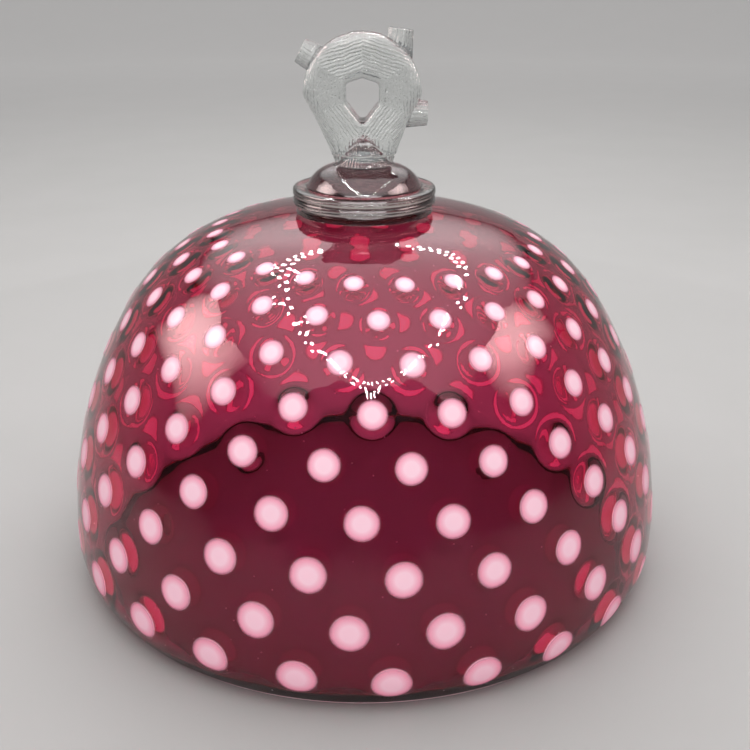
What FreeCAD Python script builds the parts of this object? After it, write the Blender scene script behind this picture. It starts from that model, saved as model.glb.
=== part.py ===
import FreeCAD, Part
import math
import os

import Sketcher
from FreeCAD import Placement, Rotation, Vector

# Dome cover of cased cranberry glass with a clear twig handle. Millimetres, +Z up.
# The origin is the centre of the ground rim, on the plane that the cover stands on.

doc = FreeCAD.newDocument("glass_dome_cover")
origin = Vector(0, 0, 0)
up = Vector(0, 0, 1)

# ---------------------------------------------------------------- driving sizes
driving_sizes = [
    ("belt_radius", 93.0, "outside radius where the bell is widest"),
    ("belt_height", 12.0, "height of that widest line above the rim"),
    ("curl_radius", 18.25, "arc that draws the wall in between belt and rim"),
    ("wall_radius", 130.0, "long arc of the side wall"),
    ("wall_angle", 33.0, "degrees turned by the side wall"),
    ("shoulder_radius", 56.0, "arc of the shoulder"),
    ("shoulder_angle", 46.0, "degrees turned by the shoulder"),
    ("casing_thickness", 2.5, "outer layer of clear opalescent glass"),
    ("lining_thickness", 1.1, "inner layer of ruby glass"),
    ("dot_rows", 9, "rows of opal dots"),
    ("dots_around", 24, "dots in one row"),
    ("first_row_arc", 0.6, "distance of the lowest row above the belt, along the wall"),
    ("row_spacing", 15.1, "distance from the first row to the second, along the wall"),
    ("row_spacing_loss", 0.5, "how much less each further row is apart"),
    ("first_dot_radius", 5.2, "radius of a dot in the lowest row"),
    ("dot_radius_loss", 0.32, "how much smaller a dot is in each row above"),
    ("dot_depth_ratio", 0.42, "depth of a dot over its radius"),
    ("dot_phase", 4.6, "degrees from the front to the first dot"),
    ("dot_twist", 0.97, "degrees that each row is turned past the one below"),
    ("lean_right", 3.9, "how far the pattern sinks at the right, along the wall"),
    ("lean_front", 3.1, "how far the pattern sinks at the front"),
    ("wad_radius", 19.4, "radius of the wad of glass under the collar"),
    ("wad_fillet", 2.6, "hollow fillet from the wad onto the crown"),
    ("collar_radius", 21.5, "radius of the collar"),
    ("collar_base", 111.6, "height of the collar's underside"),
    ("collar_thickness", 5.2, "thickness of the collar"),
    ("bead_round", 1.5, "how far the collar's faces stop short of its edge"),
    ("bead_arc", 1.55, "radius of each of the two beads around the collar's edge"),
    ("groove_depth", 0.7, "depth of the groove between the beads"),
    ("seat_radius", 17.0, "seat for the foot in the top of the collar"),
    ("seat_depth", 0.6, "depth of that seat"),
    ("mound_height", 6.0, "height of the foot's mound above the collar"),
    ("mound_arc", 9.7, "radius of the mound's swelling side"),
    ("neck_radius", 9.4, "radius where the handle stands on the foot"),
    ("spigot_radius", 5.0, "locating spigot in the top of the foot"),
    ("spigot_height", 1.2, "height of that spigot"),
    ("stem_height", 8.0, "height of the stem under the ring"),
    ("stem_top_radius", 5.6, "radius of the stem where it runs into the ring"),
    ("ring_radius", 17.0, "outside radius of the handle's ring"),
    ("ring_height", 143.1, "height of the ring's centre"),
    ("ring_offset", 0.4, "how far the ring's centre stands to the left"),
    ("ring_depth", 11.0, "thickness of the ring from front to back"),
    ("ring_rounding", 3.0, "rounding of the ring's outer edges"),
    ("limb_waist", 13.4, "half width over the limbs at their bend"),
    ("limb_bend", 6.7, "how far that bend lies under the ring's centre"),
    ("neck_height", 4.0, "height of the straight neck above the foot"),
    ("hole_top", 4.7, "finger hole: height of its peak above the ring's centre"),
    ("hole_shoulder", 3.2, "finger hole: height of its shoulders"),
    ("hole_width", 4.7, "finger hole: half width"),
    ("hole_cheek", 2.2, "finger hole: where its sides turn in, under the ring's centre"),
    ("hole_point", 8.2, "finger hole: depth of its point under the ring's centre"),
    ("hole_rounding", 1.5, "rounding of the hole's edges"),
    ("stub_end_radius", 3.5, "radius of a twig stub at its cut end"),
    ("stub_root_radius", 4.4, "radius of a twig stub at its root"),
    ("left_stub_x", -18.05, "upper left stub: centre of its cut end"),
    ("left_stub_z", 155.0, "upper left stub: height of that centre"),
    ("left_stub_turn", -62.0, "upper left stub: degrees from upright, right is positive"),
    ("left_stub_length", 7.5, "upper left stub: length with its root"),
    ("right_stub_x", 10.6, "upper right stub: centre of its cut end"),
    ("right_stub_z", 160.9, "upper right stub: height of that centre"),
    ("right_stub_turn", 8.0, "upper right stub: degrees from upright"),
    ("right_stub_length", 8.0, "upper right stub: length with its root"),
    ("side_stub_x", 18.4, "side stub: centre of its cut end"),
    ("side_stub_z", 137.6, "side stub: height of that centre"),
    ("side_stub_turn", 92.0, "side stub: degrees from upright"),
    ("side_stub_length", 7.0, "side stub: length with its root"),
]
sizes = doc.addObject("Spreadsheet::Sheet", "Sizes")
for line, (alias, value, meaning) in enumerate(driving_sizes, start=1):
    sizes.set(f"A{line}", alias)
    sizes.set(f"B{line}", str(value))
    sizes.setAlias(f"B{line}", alias)
    sizes.set(f"C{line}", meaning)
doc.recompute()


def size(alias):
    return float(getattr(sizes, alias))


# ---------------------------------------------------------------- small helpers
def origin_plane(body, role):
    return next(part for part in body.Origin.OriginFeatures if part.Role == role)


def new_body(name):
    return doc.addObject("PartDesign::Body", name)


def new_sketch(body, name, role="XZ_Plane"):
    sketch = body.newObject("Sketcher::SketchObject", name)
    sketch.AttachmentSupport = [(origin_plane(body, role), "")]
    sketch.MapMode = "FlatFace"
    return sketch


def value_of(formula):
    """A formula's number: millimetres, or radians where the formula is an angle."""
    result = sizes.evalExpression(formula)
    return math.radians(float(result)) if "deg" in formula else float(result)


def bind(sketch, kind, *geometry, formula, name):
    """Adds one dimension to a sketch and ties it to the sheet."""
    index = sketch.addConstraint(Sketcher.Constraint(kind, *geometry, value_of(formula)))
    sketch.renameConstraint(index, name)
    sketch.setExpression(f"Constraints.{name}", formula)


def revolve(body, sketch, name):
    turned = body.newObject("PartDesign::Revolution", name)
    turned.Profile = sketch
    turned.ReferenceAxis = (sketch, ["V_Axis"])
    turned.Angle = 360
    return turned


def arc_at(centre, radius, start, end):
    """An arc of a sketch: centre as (x, y), angles in radians, counter-clockwise."""
    circle = Part.Circle(Vector(centre[0], centre[1], 0), up, radius)
    return Part.ArcOfCircle(circle, start, end)


def arc_between(start, end, radius):
    """An arc that turns left from start to end when its radius is positive, else right."""
    chord = end - start
    rise = abs(radius) - math.sqrt(radius ** 2 - (chord.Length / 2) ** 2)
    right = Vector(chord.y, -chord.x, 0).normalize()
    middle = (start + end) * 0.5 + right * math.copysign(rise, radius)
    return Part.Arc(start, middle, end) if radius > 0 else Part.Arc(end, middle, start)


def closed_outline(sketch, corners, arcs=None):
    """A closed outline through corners given as formulas (across, up). The side that
    leaves corner n is straight, or an arc whose radius formula is arcs[n]."""
    arcs = arcs or {}
    first = sketch.GeometryCount
    points = [Vector(value_of(across), value_of(up), 0) for across, up in corners]
    ends = []
    for number, start in enumerate(points):
        end = points[(number + 1) % len(points)]
        if number in arcs:
            radius = value_of(arcs[number])
            sketch.addGeometry(arc_between(start, end, radius))
            ends.append((1, 2) if radius > 0 else (2, 1))
        else:
            sketch.addGeometry(Part.LineSegment(start, end))
            ends.append((1, 2))
    for number, (across, up) in enumerate(corners):
        side, before = first + number, first + (number - 1) % len(corners)
        start, end_before = ends[number][0], ends[number - 1][1]
        sketch.addConstraint(Sketcher.Constraint("Coincident", before, end_before, side, start))
        for kind, formula, axis in (("DistanceX", across, -2), ("DistanceY", up, -1)):
            if formula == "0":
                pin = Sketcher.Constraint("PointOnObject", side, start, axis)
                sketch.addConstraint(pin)
            else:
                bind(sketch, kind, -1, 1, side, start, formula=formula,
                     name=f"corner_{side}_{kind[-1]}")
        if number in arcs:
            bind(sketch, "Radius", side, formula=f"abs({arcs[number]})", name=f"arc_{side}")


def turned_body(name, corners, arcs=None):
    """A body turned about the upright axis from its half outline in the XZ plane."""
    body = new_body(name)
    sketch = new_sketch(body, name + "_outline")
    closed_outline(sketch, corners, arcs)
    revolve(body, sketch, name + "_solid")
    return body


def difference(name, base, tool):
    cut = doc.addObject("Part::Cut", name)
    cut.Base = base
    cut.Tool = tool
    return cut


def plain_feature(name, shape):
    feature = doc.addObject("Part::Feature", name)
    feature.Shape = shape
    return feature


# ---------------------------------------------------------------- outline of the bell
wall_turn = math.radians(size("wall_angle"))
shoulder_end = wall_turn + math.radians(size("shoulder_angle"))

curl_centre = (size("belt_radius") - size("curl_radius"), size("belt_height"))
wall_centre = (size("belt_radius") - size("wall_radius"), size("belt_height"))
shoulder_step = size("wall_radius") - size("shoulder_radius")
shoulder_centre = (wall_centre[0] + shoulder_step * math.cos(wall_turn),
                   wall_centre[1] + shoulder_step * math.sin(wall_turn))
crown_radius = size("shoulder_radius") + shoulder_centre[0] / math.cos(shoulder_end)
crown_centre = (0.0, shoulder_centre[1] - shoulder_centre[0] * math.tan(shoulder_end))


def bell_blank(name, inset_formula):
    """A solid bell whose whole surface lies one inset inside the outer surface."""
    body = new_body(name)
    sketch = new_sketch(body, name + "_outline")
    inset = value_of(inset_formula)
    curl = size("curl_radius") - inset
    rim_turn = -math.asin(size("belt_height") / curl)
    rim_radius = curl_centre[0] + curl * math.cos(rim_turn)
    top = crown_centre[1] + crown_radius - inset
    sketch.addGeometry(Part.LineSegment(origin, Vector(rim_radius, 0, 0)))
    sketch.addGeometry(arc_at(curl_centre, curl, rim_turn, 0))
    sketch.addGeometry(arc_at(wall_centre, size("wall_radius") - inset, 0, wall_turn))
    sketch.addGeometry(arc_at(shoulder_centre, size("shoulder_radius") - inset,
                              wall_turn, shoulder_end))
    sketch.addGeometry(arc_at(crown_centre, crown_radius - inset, shoulder_end, math.pi / 2))
    sketch.addGeometry(Part.LineSegment(Vector(0, top, 0), origin))
    base, curl_arc, wall_arc, shoulder_arc, crown_arc, axis = range(6)
    sketch.addConstraint([
        Sketcher.Constraint("Coincident", base, 1, -1, 1),
        Sketcher.Constraint("Horizontal", base),
        Sketcher.Constraint("Coincident", base, 2, curl_arc, 1),
        Sketcher.Constraint("Tangent", curl_arc, 2, wall_arc, 1),
        Sketcher.Constraint("Tangent", wall_arc, 2, shoulder_arc, 1),
        Sketcher.Constraint("Tangent", shoulder_arc, 2, crown_arc, 1),
        Sketcher.Constraint("Coincident", crown_arc, 2, axis, 1),
        Sketcher.Constraint("Vertical", axis),
        Sketcher.Constraint("Coincident", axis, 2, base, 1),
        Sketcher.Constraint("PointOnObject", crown_arc, 3, -2),
    ])
    bind(sketch, "DistanceX", -1, 1, curl_arc, 3, name="curl_centre_x",
         formula="Sizes.belt_radius - Sizes.curl_radius")
    for arc, label in ((curl_arc, "curl"), (wall_arc, "wall")):
        bind(sketch, "DistanceY", -1, 1, arc, 3, name=label + "_centre_z",
             formula="Sizes.belt_height")
    for arc, label in ((curl_arc, "curl"), (wall_arc, "wall"), (shoulder_arc, "shoulder")):
        bind(sketch, "Radius", arc, name=label + "_arc",
             formula=f"Sizes.{label}_radius - ({inset_formula})")
    for arc, label in ((wall_arc, "wall"), (shoulder_arc, "shoulder")):
        bind(sketch, "Angle", arc, name=label + "_turn", formula=f"Sizes.{label}_angle * 1deg")
    revolve(body, sketch, name + "_solid")
    return body


outer_bell = bell_blank("outer_bell", "0")
layer_bell = bell_blank("layer_bell", "Sizes.casing_thickness")
inner_bell = bell_blank("inner_bell", "Sizes.casing_thickness + Sizes.lining_thickness")

casing_blank = difference("casing_blank", outer_bell, layer_bell)
ruby_lining = difference("ruby_lining", layer_bell, inner_bell)
doc.recompute()


# ---------------------------------------------------------------- opal dots
def outer_point(arc_length):
    """Point of the outer outline and its outward turn, by distance above the belt."""
    wall_length = size("wall_radius") * wall_turn
    shoulder_length = size("shoulder_radius") * (shoulder_end - wall_turn)
    if arc_length < 0:
        centre, radius, turn = curl_centre, size("curl_radius"), arc_length / size("curl_radius")
    elif arc_length < wall_length:
        centre, radius, turn = wall_centre, size("wall_radius"), arc_length / size("wall_radius")
    elif arc_length < wall_length + shoulder_length:
        centre, radius = shoulder_centre, size("shoulder_radius")
        turn = wall_turn + (arc_length - wall_length) / radius
    else:
        centre, radius = crown_centre, crown_radius
        turn = shoulder_end + (arc_length - wall_length - shoulder_length) / radius
    return centre[0] + radius * math.cos(turn), centre[1] + radius * math.sin(turn), turn


def dot_balls(row):
    """Balls that dip into the casing: one for each dot of a row, as deep as the dot."""
    dot_radius = size("first_dot_radius") - row * size("dot_radius_loss")
    depth_ratio = size("dot_depth_ratio")
    ball_radius = dot_radius * (1 + depth_ratio ** 2) / (2 * depth_ratio)
    stand_off = ball_radius - dot_radius * depth_ratio
    row_arc = (size("first_row_arc") + row * size("row_spacing")
               - row * (row - 1) / 2 * size("row_spacing_loss"))
    pitch = 360 / size("dots_around")
    row_phase = size("dot_phase") + row * size("dot_twist") - (row % 2) * pitch / 2
    balls = []
    for place in range(int(size("dots_around"))):
        bearing = math.radians(row_phase + place * pitch)
        sink = size("lean_right") * math.sin(bearing) + size("lean_front") * math.cos(bearing)
        radius, height, turn = outer_point(row_arc - sink)
        reach = radius + stand_off * math.cos(turn)
        centre = Vector(reach * math.sin(bearing), -reach * math.cos(bearing),
                        height + stand_off * math.sin(turn))
        along_row = Vector(math.cos(bearing), math.sin(bearing), 0)
        balls.append(Part.makeSphere(ball_radius, centre, along_row))
    return balls


dot_rows = []
all_balls = []
for row in range(int(size("dot_rows"))):
    balls = dot_balls(row)
    lenses = [casing_blank.Shape.common(ball).Solids[0] for ball in balls]
    dot_rows.append(plain_feature(f"opal_dots_row_{row + 1}", Part.makeCompound(lenses)))
    all_balls += balls
dot_pockets = plain_feature("dot_pockets", Part.makeCompound(all_balls))
opalescent_casing = difference("opalescent_casing", casing_blank, dot_pockets)


# ---------------------------------------------------------------- wad, collar and foot
collar_top = "Sizes.collar_base + Sizes.collar_thickness"
wad_foot = "Sizes.wad_radius + Sizes.wad_fillet"
wad_shoulder = "Sizes.collar_base - Sizes.wad_fillet"
wad_blank = turned_body("wad_blank", [
    ("0", "Sizes.collar_base - 2 * Sizes.wad_fillet"),
    (wad_foot, "Sizes.collar_base - 2 * Sizes.wad_fillet"),
    (wad_foot, wad_shoulder),
    ("Sizes.wad_radius", "Sizes.collar_base"),
    ("0", "Sizes.collar_base"),
], arcs={2: "-Sizes.wad_fillet"})
crown_wad = difference("crown_wad", wad_blank, outer_bell)

collar_face = "Sizes.collar_radius - Sizes.bead_round"
collar_middle = "Sizes.collar_base + Sizes.collar_thickness / 2"
collar_disc = turned_body("collar_disc", [
    ("0", "Sizes.collar_base"),
    (collar_face, "Sizes.collar_base"),
    ("Sizes.collar_radius - Sizes.groove_depth", collar_middle),
    (collar_face, collar_top),
    ("Sizes.seat_radius", collar_top),
    ("Sizes.seat_radius", collar_top + " - Sizes.seat_depth"),
    ("0", collar_top + " - Sizes.seat_depth"),
], arcs={1: "Sizes.bead_arc", 2: "Sizes.bead_arc"})

neck_base = collar_top + " + Sizes.mound_height"
handle_foot = turned_body("handle_foot", [
    ("0", collar_top + " - Sizes.seat_depth"),
    ("Sizes.seat_radius", collar_top + " - Sizes.seat_depth"),
    ("Sizes.seat_radius", collar_top),
    ("Sizes.neck_radius", neck_base),
    ("Sizes.spigot_radius", neck_base),
    ("Sizes.spigot_radius", neck_base + " + Sizes.spigot_height"),
    ("0", neck_base + " + Sizes.spigot_height"),
], arcs={2: "Sizes.mound_arc"})


# ---------------------------------------------------------------- twig ring and its stubs
def edges_on_faces(feature):
    """Names of a ring feature's edges that lie on its front or its back face."""
    half = size("ring_depth") / 2
    return [f"Edge{number}" for number, edge in enumerate(feature.Shape.Edges, start=1)
            if all(abs(abs(vertex.Point.y) - half) < 1e-6 for vertex in edge.Vertexes)]


def round_edges(body, name, feature, edges, alias):
    rounded = body.newObject("PartDesign::Fillet", name)
    rounded.Base = (feature, edges)
    rounded.setExpression("Radius", f"Sizes.{alias}")
    doc.recompute()
    return rounded


ring_handle = new_body("ring_handle")
ring_outline = new_sketch(ring_handle, "ring_outline")
left = "-Sizes.ring_offset - "
right = "-Sizes.ring_offset + "
bend = "Sizes.ring_height - Sizes.limb_bend"
neck_top = neck_base + " + Sizes.neck_height"
closed_outline(ring_outline, [
    ("-Sizes.neck_radius", neck_base),
    ("Sizes.neck_radius", neck_base),
    ("Sizes.neck_radius", neck_top),
    (right + "Sizes.limb_waist", bend),
    (right + "Sizes.ring_radius", "Sizes.ring_height"),
    ("-Sizes.ring_offset", "Sizes.ring_height + Sizes.ring_radius"),
    (left + "Sizes.ring_radius", "Sizes.ring_height"),
    (left + "Sizes.limb_waist", bend),
    ("-Sizes.neck_radius", neck_top),
], arcs={4: "Sizes.ring_radius", 5: "Sizes.ring_radius"})
ring_plate = ring_handle.newObject("PartDesign::Pad", "ring_plate")
ring_plate.Profile = ring_outline
ring_plate.setExpression("Length", "Sizes.ring_depth")
ring_plate.Midplane = True
doc.recompute()
ring_rounded = round_edges(ring_handle, "ring_rounded", ring_plate,
                           edges_on_faces(ring_plate), "ring_rounding")

hole_outline = new_sketch(ring_handle, "hole_outline")
shoulder_line = "Sizes.ring_height + Sizes.hole_shoulder"
cheek_line = "Sizes.ring_height - Sizes.hole_cheek"
closed_outline(hole_outline, [
    ("-Sizes.ring_offset", "Sizes.ring_height - Sizes.hole_point"),
    (right + "Sizes.hole_width", cheek_line),
    (right + "Sizes.hole_width", shoulder_line),
    ("-Sizes.ring_offset", "Sizes.ring_height + Sizes.hole_top"),
    (left + "Sizes.hole_width", shoulder_line),
    (left + "Sizes.hole_width", cheek_line),
])
finger_hole = ring_handle.newObject("PartDesign::Pocket", "finger_hole")
finger_hole.Profile = hole_outline
finger_hole.Type = "ThroughAll"
finger_hole.Midplane = True
doc.recompute()
ring_centre = Vector(-size("ring_offset"), 0, size("ring_height"))
hole_reach = Vector(0, size("ring_depth") / 2, size("hole_point")).Length + 0.1
hole_edges = [name for name in edges_on_faces(finger_hole)
              if all((vertex.Point - ring_centre).Length < hole_reach
                     for vertex in finger_hole.Shape.getElement(name).Vertexes)]
hole_rounded = round_edges(ring_handle, "hole_rounded", finger_hole, hole_edges,
                           "hole_rounding")

stem = ring_handle.newObject("PartDesign::AdditiveCone", "stem")
stem.setExpression("Radius1", "Sizes.neck_radius")
stem.setExpression("Radius2", "Sizes.stem_top_radius")
stem.setExpression("Height", "Sizes.stem_height")
stem.setExpression("Placement.Base.z", neck_base)
socket = ring_handle.newObject("PartDesign::SubtractiveCylinder", "spigot_socket")
socket.setExpression("Radius", "Sizes.spigot_radius")
socket.setExpression("Height", "Sizes.spigot_height")
socket.setExpression("Placement.Base.z", neck_base)
doc.recompute()


def twig_stub(name, alias):
    """A cut twig end: a tapered round stub that is seated on the ring's surface."""
    lean = Rotation(Vector(0, 1, 0), size(alias + "_turn"))
    length = size(alias + "_length")
    cut_end = Vector(size(alias + "_x"), 0, size(alias + "_z"))
    cone = doc.addObject("Part::Cone", name + "_blank")
    cone.setExpression("Radius1", "Sizes.stub_root_radius")
    cone.setExpression("Radius2", "Sizes.stub_end_radius")
    cone.setExpression("Height", f"Sizes.{alias}_length")
    cone.Placement = Placement(cut_end - lean.multVec(up * length), lean)
    return difference(name, cone, ring_handle)


stubs = [twig_stub("twig_stub_upper_left", "left_stub"),
         twig_stub("twig_stub_upper_right", "right_stub"),
         twig_stub("twig_stub_side", "side_stub")]
doc.recompute()


# ---------------------------------------------------------------- check and write
pieces = [ruby_lining, opalescent_casing, *dot_rows, crown_wad, collar_disc, handle_foot,
          ring_handle, *stubs]
for made in doc.Objects:
    if "Invalid" in made.State or "Error" in made.State:
        raise RuntimeError(f"{made.Name} did not recompute: {made.State}")
os.makedirs("parts", exist_ok=True)
for piece in pieces:
    shape = piece.Shape
    if shape.isNull() or not shape.isValid() or not shape.Solids:
        raise RuntimeError(f"{piece.Label} has no valid solid")
    shape.exportStep(f"parts/{piece.Label}.step")
    print(piece.Label, "solids", len(shape.Solids), "volume", round(shape.Volume, 1))
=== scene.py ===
import math

import bmesh
import bpy
import numpy as np
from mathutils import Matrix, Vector, noise


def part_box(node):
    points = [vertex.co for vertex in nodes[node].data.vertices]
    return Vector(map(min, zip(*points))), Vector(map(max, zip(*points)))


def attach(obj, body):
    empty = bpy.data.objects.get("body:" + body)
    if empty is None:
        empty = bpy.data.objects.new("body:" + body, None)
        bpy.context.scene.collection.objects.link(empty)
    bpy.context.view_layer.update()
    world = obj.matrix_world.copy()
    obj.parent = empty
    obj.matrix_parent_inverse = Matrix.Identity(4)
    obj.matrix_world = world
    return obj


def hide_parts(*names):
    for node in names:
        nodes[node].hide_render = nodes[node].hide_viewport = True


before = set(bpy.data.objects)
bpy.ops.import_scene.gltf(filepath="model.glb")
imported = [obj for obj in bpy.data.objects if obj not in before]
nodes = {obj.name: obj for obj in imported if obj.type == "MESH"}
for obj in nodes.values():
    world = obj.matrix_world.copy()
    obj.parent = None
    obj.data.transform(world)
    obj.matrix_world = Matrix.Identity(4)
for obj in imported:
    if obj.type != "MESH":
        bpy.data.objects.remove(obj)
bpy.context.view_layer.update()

mm = 0.001  # every length below is in millimetres, Blender works in metres
scene = bpy.context.scene


# small tools

def hexColour(code):  # sRGB hex to linear
    parts = [int(code[i:i + 2], 16) / 255 for i in (1, 3, 5)]
    linear = [p / 12.92 if p <= 0.04045 else ((p + 0.055) / 1.055) ** 2.4 for p in parts]
    return (*linear, 1.0)


def addNode(tree, kind, inputs=None, **settings):  # inputs are values, or sockets to link from
    node = tree.nodes.new(kind)
    for key, value in settings.items():
        setattr(node, key, value)
    for key, value in (inputs or {}).items():
        if isinstance(value, bpy.types.NodeSocket):
            tree.links.new(value, node.inputs[key])
        else:
            node.inputs[key].default_value = value
    return node


def newMaterial(name):
    material = bpy.data.materials.new(name)
    material.use_nodes = True
    tree = material.node_tree
    tree.nodes.clear()
    return material, tree, tree.nodes.new("ShaderNodeOutputMaterial")


def newTree(name, **sockets):  # geometry nodes with one named input for each socket
    tree = bpy.data.node_groups.new(name, "GeometryNodeTree")
    face = tree.interface
    face.new_socket("Geometry", in_out="INPUT", socket_type="NodeSocketGeometry")
    for label, kind in sockets.items():
        face.new_socket(label, in_out="INPUT", socket_type="NodeSocket" + kind)
    face.new_socket("Geometry", in_out="OUTPUT", socket_type="NodeSocketGeometry")
    return tree, tree.nodes.new("NodeGroupInput").outputs, tree.nodes.new("NodeGroupOutput")


def linkObject(name, mesh):
    thing = bpy.data.objects.new(name, mesh)
    scene.collection.objects.link(thing)
    return thing


def grow(name, base, tree, **values):  # runs the tree on a mesh and keeps the plain result
    holder = linkObject(name, base)
    modifier = holder.modifiers.new(name, "NODES")
    modifier.node_group = tree
    for item in tree.interface.items_tree:
        if item.in_out == "INPUT" and item.name in values:
            modifier[item.identifier] = values[item.name]
    depsgraph = bpy.context.evaluated_depsgraph_get()
    made = bpy.data.meshes.new_from_object(holder.evaluated_get(depsgraph))
    holder.modifiers.clear()
    holder.data = made
    return holder


def finishPiece(piece, slot, *replaced):
    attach(piece, "root")
    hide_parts(*replaced)


def setMesh(name, points, faces, attributes=None):
    mesh = bpy.data.meshes.new(name)
    mesh.from_pydata([tuple(p) for p in points], [], faces)
    for label, values in (attributes or {}).items():
        values = np.asarray(values, np.float32)
        kind = "FLOAT_VECTOR" if values.ndim == 2 else "FLOAT"
        store = mesh.attributes.new(label, kind, "POINT")
        store.data.foreach_set("vector" if values.ndim == 2 else "value", values.ravel())
    return mesh


def outwards(mesh):  # normals recalculated once its doubles are merged, then shaded smooth
    work = bmesh.new()
    work.from_mesh(mesh)
    bmesh.ops.remove_doubles(work, verts=work.verts, dist=1e-7)
    bmesh.ops.recalc_face_normals(work, faces=work.faces)
    work.to_mesh(mesh)
    work.free()
    mesh.polygons.foreach_set("use_smooth", [True] * len(mesh.polygons))
    return mesh


def ringsOf(outline, around):  # each (radius, height) of the outline carried round the axis
    bearings = np.linspace(0, 2 * math.pi, around, endpoint=False)
    return [(r * mm * math.sin(b), -r * mm * math.cos(b), z * mm) for r, z in outline for b in bearings]


def turn(name, outline, around, attributes=None):  # outline of (radius, height), from axis to axis
    inner = outline[1:-1]
    points = [(0, 0, outline[0][1] * mm), *ringsOf(inner, around), (0, 0, outline[-1][1] * mm)]
    last, faces = len(points) - 1, []
    for k in range(around):
        n = (k + 1) % around
        faces.append((0, 1 + n, 1 + k))
        for row in range(len(inner) - 1):
            a, b = 1 + row * around, 1 + (row + 1) * around
            faces.append((a + k, a + n, b + n, b + k))
        a = 1 + (len(inner) - 1) * around
        faces.append((a + k, a + n, last))
    spread = {label: np.concatenate([v[:1], np.repeat(v[1:-1], around), v[-1:]])
              for label, v in (attributes or {}).items()}
    return outwards(setMesh(name, points, faces, spread))


def arcPoints(centre, radius, start, end, step):  # degrees, from the outline's plus X
    count = max(2, round(abs(math.radians(end - start)) * radius / step) + 1)
    turns = np.radians(np.linspace(start, end, count))
    return [(centre[0] + radius * math.cos(t), centre[1] + radius * math.sin(t)) for t in turns]


def roundCorner(before, corner, after, count=6):  # soft corner of an outline
    shares = np.linspace(0, 1, count)
    a, b, c = (np.array(p) for p in (before, corner, after))
    return [tuple((1 - t) ** 2 * a + 2 * t * (1 - t) * b + t * t * c) for t in shares]


# camera, at the height and pitch of the view that the cover is known from
view = {"aside": 3.2, "back": 297.6, "height": 180.5, "pitchDown": 22.76, "lens": 48.4}

eye = bpy.data.objects.new("camera", bpy.data.cameras.new("camera"))
scene.collection.objects.link(eye)
eye.location = (view["aside"] * mm, -view["back"] * mm, view["height"] * mm)
eye.rotation_euler = (math.radians(90 - view["pitchDown"]), 0, 0)
eye.data.lens = view["lens"]
eye.data.sensor_width = 36
eye.data.clip_start = 0.01
scene.camera = eye
print("camera set")


# ruby wall: one blown shell, crown to rim, with soft bosses inside behind every dot
wall = {
    "beltHeight": 12.0, "curlRadius": 18.25,
    "wallRadius": 130.0, "wallTurn": 33.0,
    "shoulderRadius": 56.0, "shoulderTurn": 46.0,
    "thickness": 3.6, "rimRounding": 0.8,
    "around": 400, "step": 1.45,
    "bossHeight": 0.9, "bossReach": 1.75,  # reach is times the dot's radius
    "valleyDepth": 0.14,  # the outside sinks this much between the dots
    "calmRim": 4.0,  # the bosses fade out over this height above the rim
}
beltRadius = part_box("opalescent_casing")[1].x / mm


def wallArcs(inset):  # (centre, radius, start, end) of each arc from the rim up to the axis
    curl = (beltRadius - wall["curlRadius"], wall["beltHeight"])
    side = (beltRadius - wall["wallRadius"], wall["beltHeight"])
    lean, top = math.radians(wall["wallTurn"]), wall["wallTurn"] + wall["shoulderTurn"]
    step = wall["wallRadius"] - wall["shoulderRadius"]
    shoulder = (side[0] + step * math.cos(lean), side[1] + step * math.sin(lean))
    crownRadius = wall["shoulderRadius"] + shoulder[0] / math.cos(math.radians(top))
    crown = (0.0, shoulder[1] - shoulder[0] * math.tan(math.radians(top)))
    rimTurn = -math.degrees(math.asin(wall["beltHeight"] / (wall["curlRadius"] - inset)))
    return [(curl, wall["curlRadius"] - inset, rimTurn, 0),
            (side, wall["wallRadius"] - inset, 0, wall["wallTurn"]),
            (shoulder, wall["shoulderRadius"] - inset, wall["wallTurn"], top),
            (crown, crownRadius - inset, top, 90)]


def wallOutline(inset):
    points = []
    for centre, radius, start, end in wallArcs(inset):
        points += arcPoints(centre, radius, start, end, wall["step"])[1 if points else 0:]
    points[-1] = (0.0, points[-1][1])
    return points


def wallNormal(radius, height):  # outward turn of the wall in degrees, at a point near it
    for centre, arcRadius, start, end in wallArcs(0):
        angle = math.degrees(math.atan2(height - centre[1], radius - centre[0]))
        if angle <= end:
            return angle, centre, arcRadius
    return angle, centre, arcRadius


def islandsOf(node):  # points of each separate solid in a CAD node, from a merged copy
    work = bmesh.new()
    work.from_mesh(node.data)
    bmesh.ops.remove_doubles(work, verts=work.verts, dist=1e-6)
    left, found = set(work.verts), []
    while left:
        stack, island = [left.pop()], []
        while stack:
            vertex = stack.pop()
            island.append(vertex.co.copy())
            for edge in vertex.link_edges:
                other = edge.other_vert(vertex)
                if other in left:
                    left.remove(other)
                    stack.append(other)
        found.append(np.array(island) / mm)
    work.free()
    return found


def dotPlaces():  # centre on the outer surface, outward direction and radius of every dot
    centres, directions, radii = [], [], []
    for name in sorted(n for n in nodes if n.startswith("opal_dots_row_")):
        for points in islandsOf(nodes[name]):
            low, high = points.min(0), points.max(0)
            middle = (low + high) / 2
            across = math.hypot(middle[0], middle[1])
            angle, centre, arcRadius = wallNormal(across, middle[2])
            lift = math.radians(angle)
            spoke = np.array([middle[0], middle[1], 0]) / across
            out = spoke * math.cos(lift) + np.array([0, 0, math.sin(lift)])
            surface = spoke * (centre[0] + arcRadius * math.cos(lift))
            surface[2] = centre[1] + arcRadius * math.sin(lift)
            away = points - surface
            away -= np.outer(away @ out, out)
            centres.append(surface * mm)
            directions.append(out)
            radii.append(np.linalg.norm(away, axis=1).max() * mm)
    order = np.lexsort(np.round(np.array(centres).T, 5))  # the same order on every run
    return [np.array(values)[order] for values in (centres, directions, radii)]


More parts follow.
